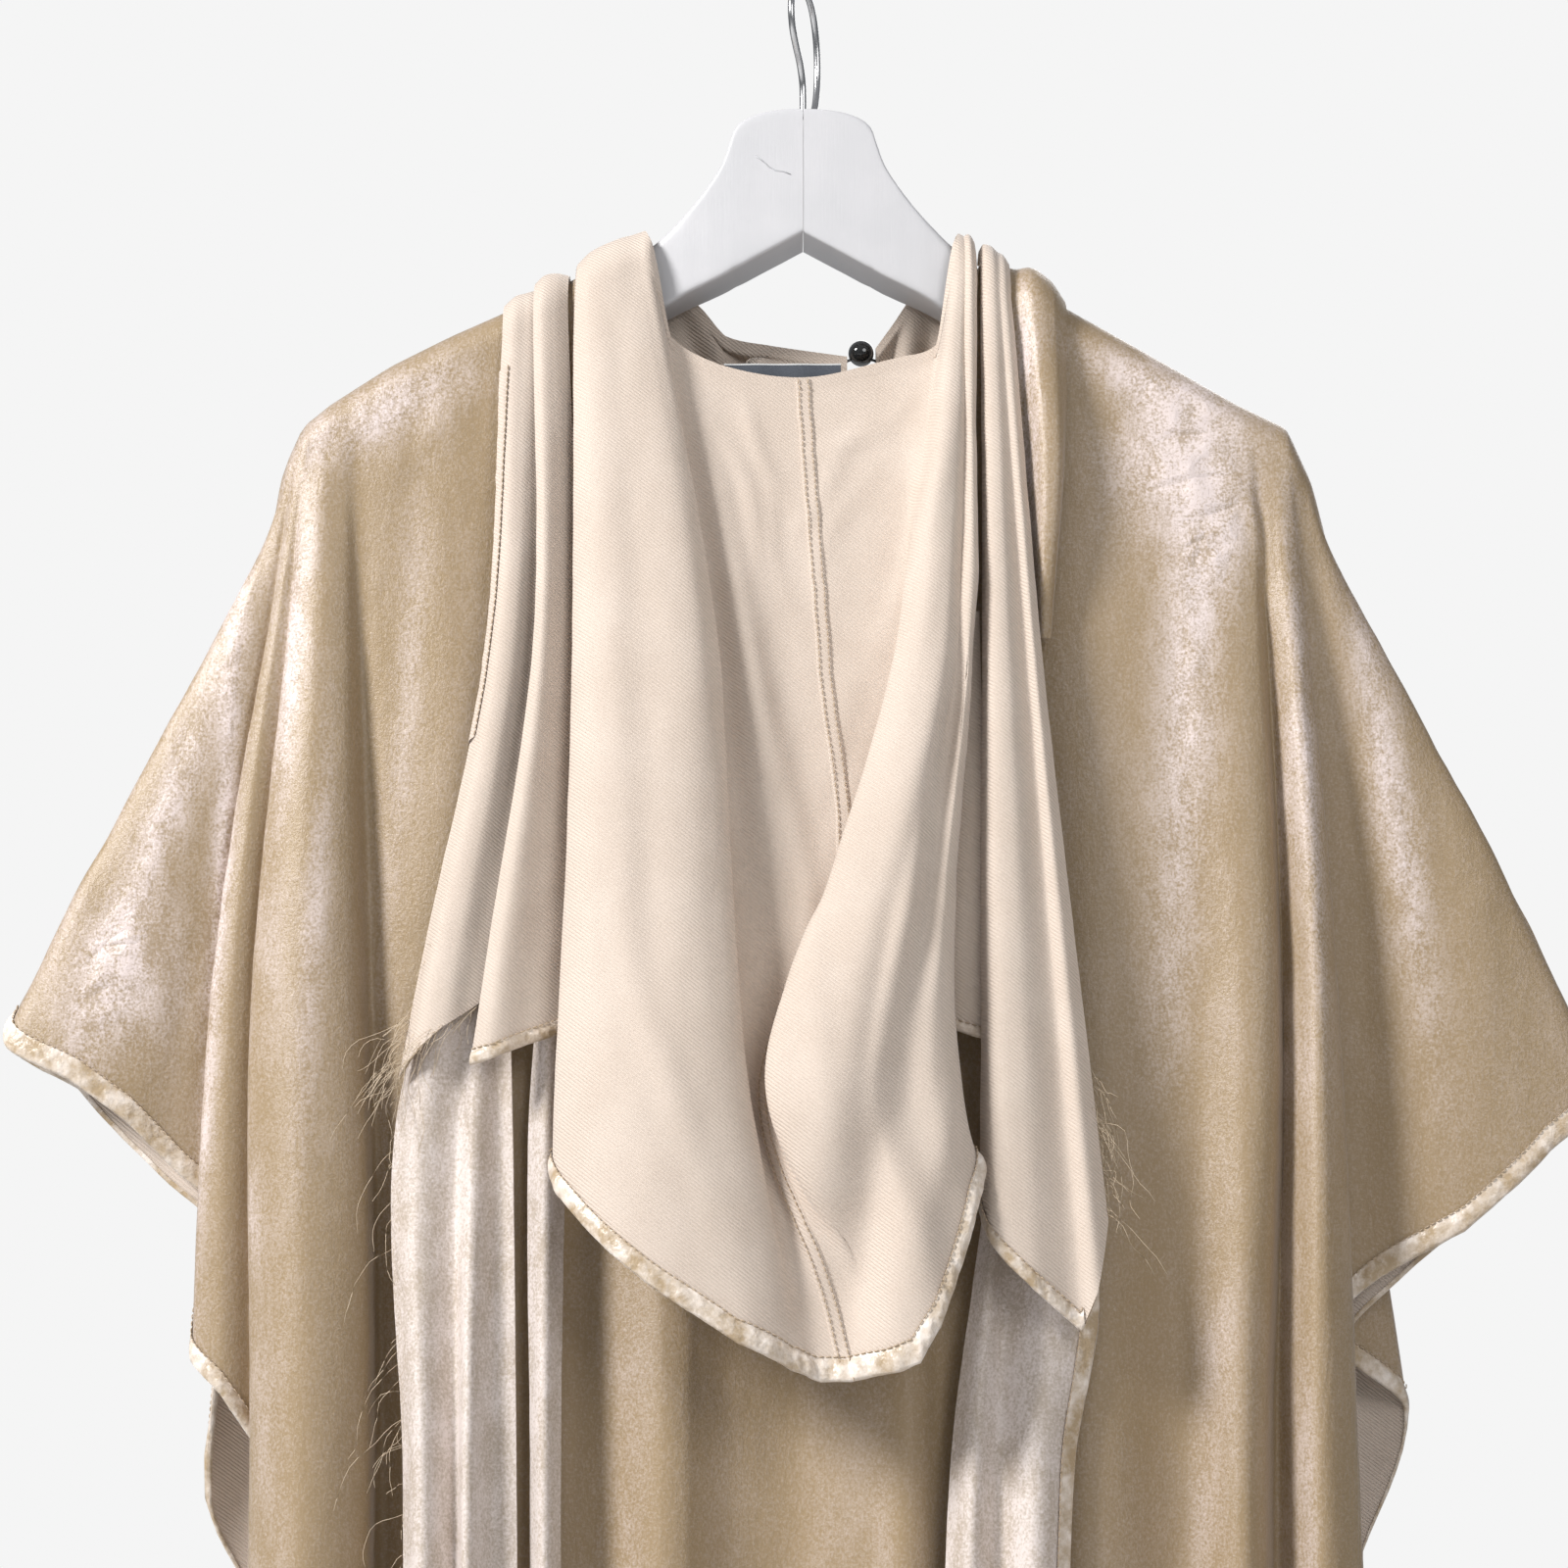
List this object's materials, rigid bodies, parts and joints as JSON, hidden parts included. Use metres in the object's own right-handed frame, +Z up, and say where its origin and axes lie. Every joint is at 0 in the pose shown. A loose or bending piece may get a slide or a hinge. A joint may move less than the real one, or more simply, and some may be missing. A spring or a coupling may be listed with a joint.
{
  "type": "hooded cloak on hanger",
  "caption": "Hooded cloak of champagne pile cloth with long scarf ends, hung open on a white wooden hanger with a wire hook.",
  "frame": {"origin": "the inside top of the hook, where a rail or peg carries it", "axes": "+Z up; -Y towards the side in the picture, the back with the hood; +X to that viewer's right along the hanger"},
  "size_m": [0.7071, 0.1539, 1.3632],
  "materials": {
    "pile_cloth": "sheen pile",
    "smooth_cloth": "matt fine weave",
    "white_paint": "white satin paint",
    "steel": "bright wire",
    "black_bead": "gloss",
    "label_cloth": "woven"
  },
  "bodies": {
    "root": {"back_yoke": "pile_cloth", "back_wing_left": "pile_cloth", "back_panel": "pile_cloth", "back_side_right": "pile_cloth", "back_wing_right": "pile_cloth", "front_left_yoke": "pile_cloth", "front_left_wing": "pile_cloth", "front_left_side": "pile_cloth", "front_left": "pile_cloth", "front_right_yoke": "pile_cloth", "front_right": "pile_cloth", "front_right_side": "pile_cloth", "front_right_wing": "pile_cloth", "tail_left_lower": "pile_cloth", "tail_left_second": "pile_cloth", "tail_right_lower": "pile_cloth", "shoulder_roll": "pile_cloth", "hood_left": "smooth_cloth", "hood_right": "smooth_cloth", "tail_left_outer": "smooth_cloth", "tail_left_inner": "smooth_cloth", "tail_right_outer": "smooth_cloth", "tail_right_flap": "smooth_cloth", "collar_left": "smooth_cloth", "collar_right": "smooth_cloth", "hanger_left": "white_paint", "hanger_right": "white_paint", "hook": "steel", "bead": "black_bead", "label": "label_cloth"}
  },
  "joints": []
}
